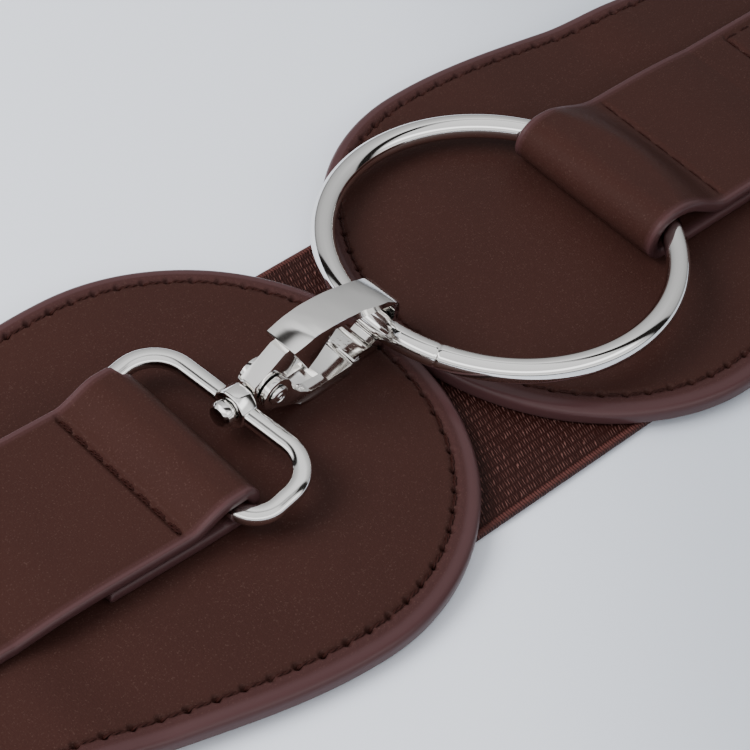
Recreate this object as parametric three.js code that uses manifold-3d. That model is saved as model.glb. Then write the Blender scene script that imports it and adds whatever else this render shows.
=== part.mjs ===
// A wide waist belt, closed and lying flat: a back of ribbed elastic webbing, two stitched leather
// front panels with round ends, a folded strap on each panel, a round ring in the right strap, and
// a swivel snap hook, held by a bail in the left strap, that is clipped to the ring.
// Millimetres. X runs along the belt, Y across it, Z up from the surface that it lies on.

import * as THREE from 'three';
import { mergeVertices } from 'three/addons/utils/BufferGeometryUtils.js';
import Module from 'manifold-3d';

const wasm = await Module();
wasm.setup();

// Clearances
const layerGap = 0.3;        // between two layers that lie on each other
const runningGap = 0.3;      // between metal pieces that turn in each other
const nearEdgeGap = 0.7;     // under a panel's -Y edge, which droops past the elastic
const farEdgeGap = 1.4;      // under its +Y edge

// Elastic band
const elasticWidth = 60;
const elasticThickness = 1.2;
const elasticShift = -6.7;    // how far the back lies off the ring's centre line
const elasticOverlap = 60;   // length of each front end under its panel
const foldHeight = 11;       // outer height of the band where it turns back at each end
const foldRise = 15;         // length over which the front end climbs to the fold
const foldLead = 3;          // free length between a panel's tail and that climb

// Front panels
const panelWidth = 81.6;
const panelLength = 150;
const panelThickness = 2.7;
const tailWidth = 63;
const taperLength = 65;
const tailCorner = 7;
const droopWidth = 9;        // how far past the elastic's edge a panel comes down to the surface
const panelLean = THREE.MathUtils.degToRad(2.5);
const leftPanelTip = [-24.3, -5.3];
const rightPanelTip = [-24.4, -2.9];

// Straps
const strapWidth = 31;
const strapThickness = 2.1;
const strapFoldWidth = 28.4; // the left strap is squeezed between the bail's sides
const strapSqueeze = 10;     // length over which it widens again
const leftStrapY = -0.1;     // centre of the left strap's upper layer at the fold
const leftStrapHeldY = -1.8; // of the part between the bail's sides
const leftStrapEndY = 1;     // and of its sewn end
const lowerLayerLength = 27; // turned-under layer, from the fold's front
const stitchSetback = 13.4;  // seam across the left strap, from the fold's front
const ringStitchSetback = 20;
const strapDrift = 50;        // length over which the left strap moves across to its sewn end
const leftStrapLength = 76;
const rightStrapLength = 78;
const sinkLength = 26;       // length over which the upper layer comes down onto the panel
const bailEase = 0.3;        // more room over the bail, whose sides rise to the swivel
const foldEase = 0.65;       // room between a fold's inner face and the wire in it

// Ring
const ringDiameter = 61;
const ringWire = 4;
const ringHeight = 9.25;     // centre of the ring above the surface
const ringTiltX = -0.05;
const ringTiltY = -0.01;

// Snap hook and bail
const claspPlace = [-57.3, -0.6];
const claspYaw = THREE.MathUtils.degToRad(2);
const swivelHeight = 9.8;
const bailYaw = THREE.MathUtils.degToRad(5.5);
const bailWire = 3;
const bailThickness = 2.5;
const bailWidth = 36.5;
const bailLength = 16.9;
const bailFrontCorner = 6.5;
const bailRearCorner = 4.5;
const collarRadius = 3.2;
const collarLength = 3.4;
const collarCentre = -0.7;
const postRadius = 1.4;
const postHeadRadius = 2.1;
const postHeadLength = 1.8;
const postHeadChamfer = 0.5;
const bodyWidth = 3;
const armWidth = 4.5;
const armRise = 10.9;        // top of the arm above the ring wire's centre
const noseWall = 1.3;
const noseStep = 0.6;
const pivotPlace = [5.1, 10.7];
const knuckleRadius = 2.8;
const gateWidth = 5.8;
const gateTipWidth = 4.6;
const gateTipLength = 4;
const gateLap = 1.2;         // length of the gate's tip over the nose
const rivetRadius = 0.9;
const rivetHeadRadius = 1.7;
const rivetHeadHeight = 0.4;

// Sizes that follow from those above
const bandTop = elasticThickness + layerGap;
const panelTop = bandTop + panelThickness;
const tailRadius = tailWidth / 2;
const tipRadius = panelWidth / 2;
const panelReach = panelLength - tipRadius;
const ringRadius = (ringDiameter - ringWire) / 2;
const strapRest = panelTop + layerGap;

function smooth(share) {
  const t = THREE.MathUtils.clamp(share, 0, 1);
  return t * t * (3 - 2 * t);
}

// Three.js geometry to a closed mesh of shared vertices, with its faces pointing out.
function weld(geometry) {
  const bare = geometry.clone();
  bare.deleteAttribute('normal');
  bare.deleteAttribute('uv');
  const welded = mergeVertices(bare, 1e-4);
  const index = welded.index.array;
  const position = welded.attributes.position;
  const kept = [];
  let volume = 0;
  const corners = [new THREE.Vector3(), new THREE.Vector3(), new THREE.Vector3()];
  for (let i = 0; i < index.length; i += 3) {
    const [a, b, c] = [index[i], index[i + 1], index[i + 2]];
    if (a === b || b === c || c === a) continue;
    kept.push(a, b, c);
    corners[0].fromBufferAttribute(position, a);
    corners[1].fromBufferAttribute(position, b);
    corners[2].fromBufferAttribute(position, c);
    volume += corners[0].dot(corners[1].cross(corners[2]));
  }
  if (volume < 0) kept.reverse();
  welded.setIndex(kept);
  return welded;
}

function toSolid(geometry) {
  const closed = weld(geometry);
  return new wasm.Manifold(new wasm.Mesh({
    numProp: 3,
    vertProperties: new Float32Array(closed.attributes.position.array),
    triVerts: new Uint32Array(closed.index.array),
  }));
}

function toGeometry(solid) {
  const mesh = solid.getMesh();
  const geometry = new THREE.BufferGeometry();
  geometry.setAttribute('position', new THREE.BufferAttribute(mesh.vertProperties, 3));
  geometry.setIndex(new THREE.BufferAttribute(mesh.triVerts, 1));
  geometry.computeVertexNormals();
  return geometry;
}

function join(...geometries) {
  const solids = geometries.map(toSolid);
  return toGeometry(solids.reduce((whole, next) => whole.add(next)));
}

function cut(geometry, ...tools) {
  return toGeometry(tools.map(toSolid).reduce((left, tool) => left.subtract(tool), toSolid(geometry)));
}

// A body from a grid of rows: pointAt(row, side, across) is on its outer face for side 1 and on its
// inner face for side -1.
function stripGeometry(rows, acrossSteps, pointAt) {
  const positions = [];
  const at = (row, side, across) => ((row * 2 + (side > 0 ? 0 : 1)) * (acrossSteps + 1)) + across;
  for (let row = 0; row < rows; row += 1) {
    for (const side of [1, -1]) {
      for (let across = 0; across <= acrossSteps; across += 1) {
        positions.push(...pointAt(row, side, across / acrossSteps));
      }
    }
  }
  const index = [];
  const quad = (a, b, c, d) => index.push(a, b, c, a, c, d);
  for (let row = 0; row < rows - 1; row += 1) {
    for (let j = 0; j < acrossSteps; j += 1) {
      quad(at(row, 1, j), at(row, 1, j + 1), at(row + 1, 1, j + 1), at(row + 1, 1, j));
      quad(at(row, -1, j + 1), at(row, -1, j), at(row + 1, -1, j), at(row + 1, -1, j + 1));
    }
    quad(at(row, -1, 0), at(row, 1, 0), at(row + 1, 1, 0), at(row + 1, -1, 0));
    quad(at(row, 1, acrossSteps), at(row, -1, acrossSteps), at(row + 1, -1, acrossSteps), at(row + 1, 1, acrossSteps));
  }
  for (let j = 0; j < acrossSteps; j += 1) {
    quad(at(0, 1, j + 1), at(0, 1, j), at(0, -1, j), at(0, -1, j + 1));
    quad(at(rows - 1, 1, j), at(rows - 1, 1, j + 1), at(rows - 1, -1, j + 1), at(rows - 1, -1, j));
  }
  const geometry = new THREE.BufferGeometry();
  geometry.setAttribute('position', new THREE.Float32BufferAttribute(positions, 3));
  geometry.setIndex(index);
  return weld(geometry);
}

// Unit normals of a line of [x, z] points, one for each point.
function lineNormals(line) {
  return line.map((point, k) => {
    const before = line[Math.max(k - 1, 0)];
    const after = line[Math.min(k + 1, line.length - 1)];
    const dx = after[0] - before[0];
    const dz = after[1] - before[1];
    const length = Math.hypot(dx, dz);
    return [-dz / length, dx / length];
  });
}

// Front panels: side -1 is the left one, whose tail runs to -X, and side 1 the right one.
function panelFrame(side) {
  const tip = side < 0 ? leftPanelTip : rightPanelTip;
  const along = [side * Math.cos(panelLean), Math.sin(panelLean)];
  const centre = [tip[0] + along[0] * tipRadius, tip[1] + along[1] * tipRadius];
  const across = [-side * along[1], side * along[0]];
  return {
    toWorld(u, v) {
      const run = u - tipRadius;
      return [centre[0] + along[0] * run + across[0] * v, centre[1] + along[1] * run + across[1] * v];
    },
    axisY(x) {
      return centre[1] + (x - centre[0]) * along[1] / along[0];
    },
    shareAlong(x, y) {
      return (x - centre[0]) * along[0] + (y - centre[1]) * along[1] + tipRadius;
    },
  };
}

const leftPanel = panelFrame(-1);
const rightPanel = panelFrame(1);
const leftTailX = leftPanel.toWorld(panelLength, 0)[0];
const rightTailX = rightPanel.toWorld(panelLength, 0)[0];
const leftFoldX = leftTailX - foldLead - foldRise;
const rightFoldX = rightTailX + foldLead + foldRise;
const leftEndX = leftTailX + elasticOverlap;
const rightEndX = rightTailX - elasticOverlap;

// Centre of the back run at x: straight behind the ring, drifting towards the panels' tails.
function backY(x) {
  const left = smooth((leftEndX - x) / (leftEndX - leftFoldX));
  const right = smooth((x - rightEndX / 2) / (rightFoldX - rightEndX / 2));
  const toLeft = (leftPanel.axisY(leftFoldX) - elasticShift) / 2;
  const toRight = (rightPanel.axisY(rightFoldX) - elasticShift) / 2;
  return elasticShift + toLeft * left + toRight * right;
}

// Height of the first free level over the back run, which comes down to the surface beside it.
function overBack(x, y) {
  const off = y - backY(x);
  const edgeGap = off < 0 ? nearEdgeGap : farEdgeGap;
  const outside = Math.abs(off) - elasticWidth / 2 - layerGap;
  return bandTop + (edgeGap - bandTop) * smooth(outside / droopWidth);
}

// How far a panel is lifted by the elastic's front end under it.
function tailLift(u) {
  const start = panelLength - elasticOverlap;
  return bandTop * smooth((u - start + foldRise) / (foldRise - 1));
}

function panelBottom(frame, x, y) {
  return overBack(x, y) + tailLift(frame.shareAlong(x, y));
}

// Outline of a panel from its tip to its tail: a half circle, a taper and a tail with round corners.
function panelOutline() {
  const half = [];
  const tipSteps = 13;
  for (let k = 0; k <= tipSteps; k += 1) {
    const turn = (Math.PI / 2) * (k / tipSteps);
    half.push([tipRadius * (1 - Math.cos(turn)), tipRadius * Math.sin(turn)]);
  }
  const taperSteps = 9;
  for (let k = 1; k <= taperSteps; k += 1) {
    const share = k / taperSteps;
    const width = tailRadius + (tipRadius - tailRadius) * 0.5 * (1 + Math.cos(Math.PI * share));
    half.push([tipRadius + taperLength * share, width]);
  }
  const straightSteps = 3;
  const straightEnd = panelLength - tailCorner;
  for (let k = 1; k <= straightSteps; k += 1) {
    const from = tipRadius + taperLength;
    half.push([from + (straightEnd - from) * (k / straightSteps), tailRadius]);
  }
  const cornerSteps = 4;
  for (let k = 1; k <= cornerSteps; k += 1) {
    const turn = (Math.PI / 2) * (k / cornerSteps);
    half.push([straightEnd + tailCorner * Math.sin(turn), tailRadius - tailCorner * (1 - Math.cos(turn))]);
  }
  half.push([panelLength, tailRadius / 3]);
  const mirrored = half.slice(1).reverse().map(([u, v]) => [u, -v]);
  return half.concat(mirrored);
}

function panelGeometry(side) {
  const frame = side < 0 ? leftPanel : rightPanel;
  const outline = panelOutline();
  const edge = panelThickness / 2;
  // One row for each loop from the rim inwards: inset from the rim and height as a share of the
  // thickness. The last loop closes on the panel's middle line.
  const rolled = [0, 30, 60, 90].map((degrees) => {
    const turn = THREE.MathUtils.degToRad(degrees);
    return { inset: edge * (1 - Math.cos(turn)), rise: 0.5 + 0.5 * Math.sin(turn) };
  });
  const flat = [1.7, 3.6, 6.4].map((share) => ({ inset: share * panelThickness, rise: 1 }));
  const top = rolled.concat(flat, [{ inset: Infinity, rise: 1 }]);
  const under = top.slice(1).map(({ inset, rise }) => ({ inset, rise: 1 - rise }));
  const loops = [...under].reverse().concat(top);
  const positions = [];
  for (const { inset, rise } of loops) {
    for (const [u, v] of outline) {
      const footU = THREE.MathUtils.clamp(u, tipRadius, panelLength - tailRadius);
      const reach = Math.hypot(u - footU, v);
      const share = Math.max(0, 1 - inset / reach);
      const [x, y] = frame.toWorld(footU + (u - footU) * share, v * share);
      positions.push(x, y, panelBottom(frame, x, y) + rise * panelThickness);
    }
  }
  const count = outline.length;
  const index = [];
  for (let loop = 0; loop < loops.length - 1; loop += 1) {
    for (let k = 0; k < count; k += 1) {
      const next = (k + 1) % count;
      const [a, b] = [loop * count + k, loop * count + next];
      const [c, d] = [a + count, b + count];
      index.push(a, b, d, a, d, c);
    }
  }
  const geometry = new THREE.BufferGeometry();
  geometry.setAttribute('position', new THREE.Float32BufferAttribute(positions, 3));
  geometry.setIndex(index);
  return weld(geometry);
}

// Elastic: from its front end under the left panel, round the left fold, along the back, round the
// right fold and in under the right panel. A row's front share is 1 where it lies on the back run.
function elasticRows() {
  const mid = elasticThickness / 2;
  const frontZ = bandTop + mid;
  const foldRadius = (foldHeight - elasticThickness) / 2;
  const topZ = mid + 2 * foldRadius;
  const rows = [];
  const frontSteps = 6;
  const riseSteps = 7;
  const turnSteps = 8;
  const halves = [
    { side: -1, frame: leftPanel, endX: leftEndX, tailX: leftTailX, foldX: leftFoldX },
    { side: 1, frame: rightPanel, endX: rightEndX, tailX: rightTailX, foldX: rightFoldX },
  ].map(({ side, frame, endX, tailX, foldX }) => {
    const half = [];
    const startX = tailX + side * foldLead;
    for (let k = 0; k <= frontSteps; k += 1) {
      const x = endX + (startX - endX) * (k / frontSteps);
      half.push({ x, z: frontZ, y: frame.axisY(x), front: 1 });
    }
    for (let k = 1; k <= riseSteps; k += 1) {
      const share = k / riseSteps;
      const x = startX + side * foldRise * share;
      half.push({ x, z: frontZ + (topZ - frontZ) * smooth(share), y: frame.axisY(x), front: 1 - smooth(share) });
    }
    for (let k = 1; k <= turnSteps; k += 1) {
      const turn = Math.PI * (k / turnSteps);
      const y = THREE.MathUtils.lerp(frame.axisY(foldX), backY(foldX), smooth(k / turnSteps));
      const x = foldX + side * foldRadius * Math.sin(turn);
      half.push({ x, z: mid + foldRadius * (1 + Math.cos(turn)), y, front: 0 });
    }
    return half;
  });
  rows.push(...halves[0]);
  const backSteps = 18;
  for (let k = 1; k < backSteps; k += 1) {
    const x = leftFoldX + (rightFoldX - leftFoldX) * (k / backSteps);
    rows.push({ x, z: mid, y: backY(x), front: 0 });
  }
  rows.push(...halves[1].reverse());
  return rows;
}

function elasticGeometry() {
  const rows = elasticRows();
  const normals = lineNormals(rows.map(({ x, z }) => [x, z]));
  return stripGeometry(rows.length, 8, (row, side, across) => {
    const { x, z, y, front } = rows[row];
    const placeY = y + elasticWidth * (across - 0.5);
    const sag = front * (overBack(x, placeY) - bandTop);
    const offset = side * elasticThickness / 2;
    return [x + normals[row][0] * offset, placeY, z + normals[row][1] * offset + sag];
  });
}

// A strap: its upper layer from its sewn end to the fold, round what it holds, and back under.
// direction is 1 where the fold faces +X. heldTop and heldLength say what the fold goes over.
function strapRows({ frame, direction, frontX, centreY, heldTop, overAt, seam, length }) {
  const mid = strapThickness / 2;
  const lowZ = strapRest + mid;
  const topZ = heldTop + layerGap + mid;
  const doubleZ = lowZ + strapThickness + layerGap;
  const radius = (topZ - lowZ) / 2;
  const turnX = frontX - direction * (radius + mid);
  const back = (distance) => frontX - direction * distance;
  const lift = (x) => tailLift(frame.shareAlong(x, centreY));
  const rows = [];
  const upperSteps = 26;
  const turnStart = radius + mid;
  for (let k = 0; k <= upperSteps; k += 1) {
    const distance = length + (turnStart - length) * (k / upperSteps);
    const overHeld = (y) => {
      const start = turnStart + overAt(y);
      return 1 - smooth((distance - start) / (seam - start));
    };
    const sunk = THREE.MathUtils.clamp((distance - lowerLayerLength - layerGap) / sinkLength, 0, 1);
    const overLower = 1 - sunk * sunk;
    const x = back(distance);
    const sewn = lowZ + (doubleZ - lowZ) * overLower;
    const z = Math.max(sewn, lowZ + lift(x));
    const rise = (y) => (topZ - doubleZ) * overHeld(y);
    rows.push({ x, z, rise, distance, held: overHeld(0), top: 1 });
  }
  const turnSteps = 10;
  for (let k = 1; k <= turnSteps; k += 1) {
    const turn = Math.PI * (k / turnSteps);
    const x = turnX + direction * radius * Math.sin(turn);
    const z = lowZ + radius * (1 + Math.cos(turn));
    rows.push({ x, z, rise: () => 0, distance: turnStart, held: 1, top: 0.5 * (1 + Math.cos(turn)) });
  }
  const lowerSteps = 5;
  for (let k = 1; k <= lowerSteps; k += 1) {
    const distance = turnStart + (lowerLayerLength - turnStart) * (k / lowerSteps);
    rows.push({ x: back(distance), z: lowZ, rise: () => 0, distance, held: 1, top: 0 });
  }
  return rows;
}

function strapGeometry(options) {
  const rows = strapRows(options);
  const normals = lineNormals(rows.map(({ x, z, rise }) => [x, z + rise(0)]));
  return stripGeometry(rows.length, 4, (row, side, across) => {
    const { x, z, rise, distance, held, top } = rows[row];
    const spread = Math.max(smooth((top - 0.97) / 0.03), smooth(distance / strapSqueeze - 0.5));
    const width = THREE.MathUtils.lerp(options.foldWidth, strapWidth, spread);
    const free = THREE.MathUtils.lerp(options.centreY, options.endY, smooth(distance / strapDrift));
    const centre = THREE.MathUtils.lerp(options.heldY, free, spread);
    const offset = side * strapThickness / 2;
    const y = centre + width * (across - 0.5);
    const twist = options.slope * y * held * top;
    return [x + normals[row][0] * offset, y, z + normals[row][1] * offset + rise(y) + twist];
  });
}

// Wire bent round a closed line of [x, y] points, in the XY plane.
function closedWire(line, wire, thickness, sides) {
  const count = line.length;
  const positions = [];
  for (let k = 0; k < count; k += 1) {
    const before = line[(k + count - 1) % count];
    const after = line[(k + 1) % count];
    const dx = after[0] - before[0];
    const dy = after[1] - before[1];
    const length = Math.hypot(dx, dy);
    for (let s = 0; s < sides; s += 1) {
      const turn = 2 * Math.PI * ((s + 0.5) / sides);
      const out = (wire / 2) * Math.cos(turn);
      const up = (thickness / 2) * Math.sin(turn);
      positions.push(line[k][0] + (dy / length) * out, line[k][1] - (dx / length) * out, up);
    }
  }
  const index = [];
  for (let k = 0; k < count; k += 1) {
    for (let s = 0; s < sides; s += 1) {
      const a = k * sides + s;
      const b = k * sides + ((s + 1) % sides);
      const c = ((k + 1) % count) * sides + s;
      const d = ((k + 1) % count) * sides + ((s + 1) % sides);
      index.push(a, b, d, a, d, c);
    }
  }
  const geometry = new THREE.BufferGeometry();
  geometry.setAttribute('position', new THREE.Float32BufferAttribute(positions, 3));
  geometry.setIndex(index);
  return weld(geometry);
}

// Profile of [x, z] points, or a shape drawn in them, as a plate of the given width across Y.
function plate(profile, width) {
  const shape = profile instanceof THREE.Shape ? profile : new THREE.Shape(profile.map(([x, z]) => new THREE.Vector2(x, z)));
  const geometry = new THREE.ExtrudeGeometry(shape, { depth: width, bevelEnabled: false, curveSegments: 10 });
  geometry.rotateX(Math.PI / 2);
  geometry.translate(0, width / 2, 0);
  return geometry;
}

function pinAcross([x, z], radius, length, sides = 24) {
  const geometry = new THREE.CylinderGeometry(radius, radius, length, sides);
  geometry.translate(x, 0, z);
  return geometry;
}

function rodAlong(fromX, toX, radius, endRadius = radius) {
  const geometry = new THREE.CylinderGeometry(endRadius, radius, toX - fromX, 24);
  geometry.rotateZ(-Math.PI / 2);
  geometry.translate((fromX + toX) / 2, 0, swivelHeight);
  return geometry;
}

function block(fromX, toX, width, fromZ, toZ) {
  const geometry = new THREE.BoxGeometry(toX - fromX, width, toZ - fromZ);
  geometry.translate((fromX + toX) / 2, 0, (fromZ + toZ) / 2);
  return geometry;
}

// The clasp's own frame starts below the swivel. The ring's wire crosses it here.
const claspTube = (() => {
  const dx = -ringRadius - claspPlace[0];
  const dy = -claspPlace[1];
  return [
    dx * Math.cos(claspYaw) + dy * Math.sin(claspYaw),
    ringHeight + ringRadius * Math.sin(ringTiltY),
  ];
})();

function bailGeometry() {
  const halfWidth = (bailWidth - bailWire) / 2;
  const rear = -(bailLength - bailWire);
  const corners = [
    { x: -bailFrontCorner, y: halfWidth - bailFrontCorner, radius: bailFrontCorner, start: 90 },
    { x: -bailFrontCorner, y: -(halfWidth - bailFrontCorner), radius: bailFrontCorner, start: 0 },
    { x: rear + bailRearCorner, y: -(halfWidth - bailRearCorner), radius: bailRearCorner, start: -90 },
    { x: rear + bailRearCorner, y: halfWidth - bailRearCorner, radius: bailRearCorner, start: -180 },
  ];
  const line = [];
  const cornerSteps = 7;
  for (const { x, y, radius, start } of corners) {
    for (let k = 0; k <= cornerSteps; k += 1) {
      const turn = THREE.MathUtils.degToRad(start - 90 * (k / cornerSteps));
      line.push([x + radius * Math.cos(turn), y + radius * Math.sin(turn)]);
    }
  }
  const eye = closedWire(line, bailWire, bailThickness, 12);
  eye.rotateY(-bailSlope());
  eye.rotateZ(bailYaw - claspYaw);
  eye.translate(collarCentre, 0, swivelHeight);
  const collarStart = collarCentre - collarLength / 2;
  const collarEnd = collarCentre + collarLength / 2;
  const whole = join(eye, rodAlong(collarStart, collarEnd, collarRadius));
  return cut(whole, rodAlong(collarStart - 1, collarEnd + 1, postRadius + runningGap));
}

// The bail's rear bar lies on the strap's lower layer, and its front bar is at the swivel's height.
function bailSlope() {
  return Math.asin((swivelHeight - bailRearHeight()) / (bailLength - bailWire));
}

function bailRearHeight() {
  return strapRest + strapThickness + layerGap + bailThickness / 2;
}

// The bail's rear bar in the belt's frame: x at its middle.
function bailRearX() {
  const run = (bailLength - bailWire) * Math.cos(bailSlope());
  return claspPlace[0] + collarCentre * Math.cos(claspYaw) - run * Math.cos(bailYaw);
}

// Arm of the hook: over the ring's wire, down inside the ring and back under the wire to the nose.
// Each row holds shares of the reach from the pivot to the wire, and of the rise above the wire.
function armShape() {
  const [wireX, wireZ] = claspTube;
  const reach = wireX - pivotPlace[0];
  const place = ([along, up]) => new THREE.Vector2(pivotPlace[0] + along * reach, wireZ + up * armRise);
  const outerRows = [[0.07, 0.9], [0.26, 1.0], [0.47, 0.985], [0.68, 0.895], [0.93, 0.72], [1.07, 0.52]];
  const innerRows = [[1.02, 0.47], [0.93, 0.615], [0.77, 0.745], [0.55, 0.845], [0.41, 0.745], [0.28, 0.63], [0.18, 0.52]];
  const inner = ringWire / 2 + runningGap;
  const floorZ = panelTop + layerGap;
  const outer = [inner + noseWall, wireZ - floorZ];
  const noseEnd = gateFaceX() + runningGap * 2;
  const tipTop = noseTop();
  const shape = new THREE.Shape();
  const first = place(outerRows[0]);
  shape.moveTo(first.x, first.y);
  shape.splineThru(outerRows.slice(1).map(place).concat([new THREE.Vector2(wireX + outer[0], wireZ + inner)]));
  shape.lineTo(wireX + outer[0], wireZ);
  shape.absellipse(wireX, wireZ, outer[0], outer[1], 0, -Math.PI / 2, true);
  shape.lineTo(noseEnd, floorZ);
  shape.lineTo(noseEnd, tipTop);
  shape.lineTo(wireX - inner, tipTop);
  shape.absarc(wireX, wireZ, inner, -Math.PI * 0.66, 0, false);
  shape.splineThru([new THREE.Vector2(wireX + inner, wireZ + inner)].concat(innerRows.map(place)));
  shape.closePath();
  return shape;
}

// Height of the nose's end, which the gate's tip closes on, and x of the gate's face beside it.
function noseTop() {
  return claspTube[1] - ringWire / 2 - runningGap - noseStep;
}

function gateFaceX() {
  return claspTube[0] - ringWire / 2 - runningGap - gateLap - 1.2;
}

function hookGeometry() {
  const [pivotX, pivotZ] = pivotPlace;
  const rear = collarCentre + collarLength / 2 + runningGap;
  const armFoot = pivotX + 4.7;
  const bodyProfile = [
    [rear, swivelHeight - postRadius - 1],
    [rear, swivelHeight + collarRadius + 0.5],
    [pivotX - 0.9, pivotZ + knuckleRadius + 1.7],
    [pivotX + 1.8, pivotZ + knuckleRadius + 3.6],
    [armFoot, pivotZ + knuckleRadius + 3.9],
    [armFoot, pivotZ + knuckleRadius],
    [armFoot - 1.1, pivotZ + 1.2],
    [pivotX + 1.2, pivotZ - knuckleRadius + 0.8],
    [pivotX - 1.6, pivotZ - knuckleRadius + 0.5],
  ];
  const headEnd = collarCentre - collarLength / 2 - runningGap;
  const headStart = headEnd - postHeadLength;
  const headEdge = headStart + postHeadChamfer;
  const whole = join(
    plate(armShape(), armWidth),
    plate(bodyProfile, bodyWidth),
    rodAlong(headEdge, rear + 1, postRadius),
    rodAlong(headEdge, headEnd, postHeadRadius),
    rodAlong(headStart, headEdge, postHeadRadius - postHeadChamfer, postHeadRadius),
  );
  return cut(whole, pinAcross(pivotPlace, rivetRadius + runningGap, bodyWidth * 2));
}

// Gate lever: two cheeks on the body's tongue, a channelled bar and a tip that closes on the nose.
function gateGeometry() {
  const [pivotX, pivotZ] = pivotPlace;
  const faceX = gateFaceX();
  const bottom = panelTop + layerGap;
  const tipUnder = noseTop() + runningGap;
  const barTop = tipUnder + 0.5;
  const barLength = faceX - pivotX;
  const tipStart = faceX + gateLap - gateTipLength;
  const profile = [
    [pivotX - 1, pivotZ - knuckleRadius + 0.3],
    [pivotX + 0.14 * barLength, bottom + 1.9],
    [pivotX + 0.3 * barLength, bottom + 0.45],
    [pivotX + 0.45 * barLength, bottom],
    [faceX, bottom],
    [faceX, tipUnder],
    [faceX + gateLap + 0.6, tipUnder],
    [faceX + gateLap + 0.9, tipUnder + 0.8],
    [faceX + gateLap - 0.4, barTop + 0.9],
    [tipStart, barTop + 1.1],
    [tipStart - 0.4, barTop + 0.1],
    [pivotX + 0.58 * barLength, barTop + 0.1],
    [pivotX + 0.36 * barLength, barTop + 0.6],
    [pivotX + 0.24 * barLength, barTop + 1.7],
    [pivotX + 0.17 * barLength, barTop + 3],
    [pivotX + knuckleRadius - 0.3, pivotZ + 1],
  ];
  const side = (gateWidth - gateTipWidth) / 2 + 1;
  const shoulders = [-1, 1].map((sign) => {
    const shoulder = block(tipStart, tipStart + gateTipLength * 2, side, bottom - 1, bottom + gateTipLength);
    shoulder.translate(0, sign * (gateTipWidth + side) / 2, 0);
    return shoulder;
  });
  const slotWidth = bodyWidth + 2 * runningGap;
  const channelWidth = gateWidth - 2.4;
  return cut(
    join(plate(profile, gateWidth), pinAcross(pivotPlace, knuckleRadius, gateWidth)),
    ...shoulders,
    block(pivotX - knuckleRadius - 1, pivotX + 4.1, slotWidth, bottom - 1, pivotZ + knuckleRadius + 1),
    block(pivotX + 5.3, pivotX + 0.55 * barLength, channelWidth, bottom + 1, pivotZ),
    pinAcross(pivotPlace, rivetRadius + runningGap, gateWidth * 2),
  );
}

function rivetGeometry() {
  const headPlace = gateWidth / 2 + runningGap + rivetHeadHeight / 2;
  const heads = [-1, 1].map((side) => {
    const head = pinAcross(pivotPlace, rivetHeadRadius, rivetHeadHeight);
    head.translate(0, side * headPlace, 0);
    return head;
  });
  return join(pinAcross(pivotPlace, rivetRadius, 2 * headPlace), ...heads);
}

function ringGeometry() {
  return weld(new THREE.TorusGeometry(ringRadius, ringWire / 2, 12, 60));
}

// Materials
const leather = new THREE.MeshStandardMaterial({ color: 0x3a221d, roughness: 0.5, metalness: 0 });
const webbing = new THREE.MeshStandardMaterial({ color: 0x33150f, roughness: 0.9, metalness: 0 });
const nickel = new THREE.MeshStandardMaterial({ color: 0xd9d8d6, roughness: 0.12, metalness: 1 });

function piece(name, geometry, material) {
  const mesh = new THREE.Mesh(geometry, material);
  mesh.name = name;
  return mesh;
}

const belt = new THREE.Group();
belt.add(piece('elastic_band', elasticGeometry(), webbing));
belt.add(piece('left_panel', panelGeometry(-1), leather));
belt.add(piece('right_panel', panelGeometry(1), leather));

// The left strap's fold clears the rear bar of the bail, which is turned in it.
const bailSwing = (strapFoldWidth / 2) * Math.tan(bailYaw);
const leftFrontX = bailRearX() + bailWire / 2 + bailSwing + foldEase + strapThickness;
belt.add(piece('left_strap', strapGeometry({
  frame: leftPanel,
  direction: 1,
  frontX: leftFrontX,
  centreY: leftStrapY,
  heldY: leftStrapHeldY,
  endY: leftStrapEndY,
  foldWidth: strapFoldWidth,
  heldTop: bailRearHeight() + bailThickness / 2 + bailEase,
  overAt: () => 2,
  seam: stitchSetback,
  length: leftStrapLength,
  slope: 0,
}), leather));

// The right strap's fold clears the ring's wire, which bows back at the strap's edges.
const wireAtEdge = Math.sqrt(ringRadius ** 2 - (strapWidth / 2) ** 2);
const rightFrontX = wireAtEdge - ringWire / 2 - foldEase - strapThickness;
const wireTopMid = ringHeight - ringRadius * Math.sin(ringTiltY) + ringWire / 2;
belt.add(piece('right_strap', strapGeometry({
  frame: rightPanel,
  direction: -1,
  frontX: rightFrontX,
  centreY: 0,
  heldY: 0,
  endY: 0,
  foldWidth: strapWidth,
  heldTop: wireTopMid,
  overAt: (y) => Math.sqrt(ringRadius ** 2 - y ** 2) - rightFrontX - ringWire,
  seam: ringStitchSetback,
  length: rightStrapLength,
  slope: Math.tan(ringTiltX),
}), leather));

const ring = piece('ring', ringGeometry(), nickel);
ring.position.z = ringHeight;
ring.rotation.set(ringTiltX, ringTiltY, 0);
belt.add(ring);

const clasp = new THREE.Group();
clasp.position.set(claspPlace[0], claspPlace[1], 0);
clasp.rotation.z = claspYaw;
clasp.add(piece('bail', bailGeometry(), nickel));
clasp.add(piece('hook_body', hookGeometry(), nickel));
clasp.add(piece('gate', gateGeometry(), nickel));
clasp.add(piece('gate_rivet', rivetGeometry(), nickel));
belt.add(clasp);

// The origin is on the surface, under the middle of the whole belt.
belt.updateMatrixWorld(true);
const bounds = new THREE.Box3().setFromObject(belt, true);
const middle = bounds.getCenter(new THREE.Vector3());
belt.position.set(-middle.x, -middle.y, -bounds.min.z);

export default belt;
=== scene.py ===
import math
import random

import bmesh
import bpy
import numpy as np
from mathutils import Matrix, Vector


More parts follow.
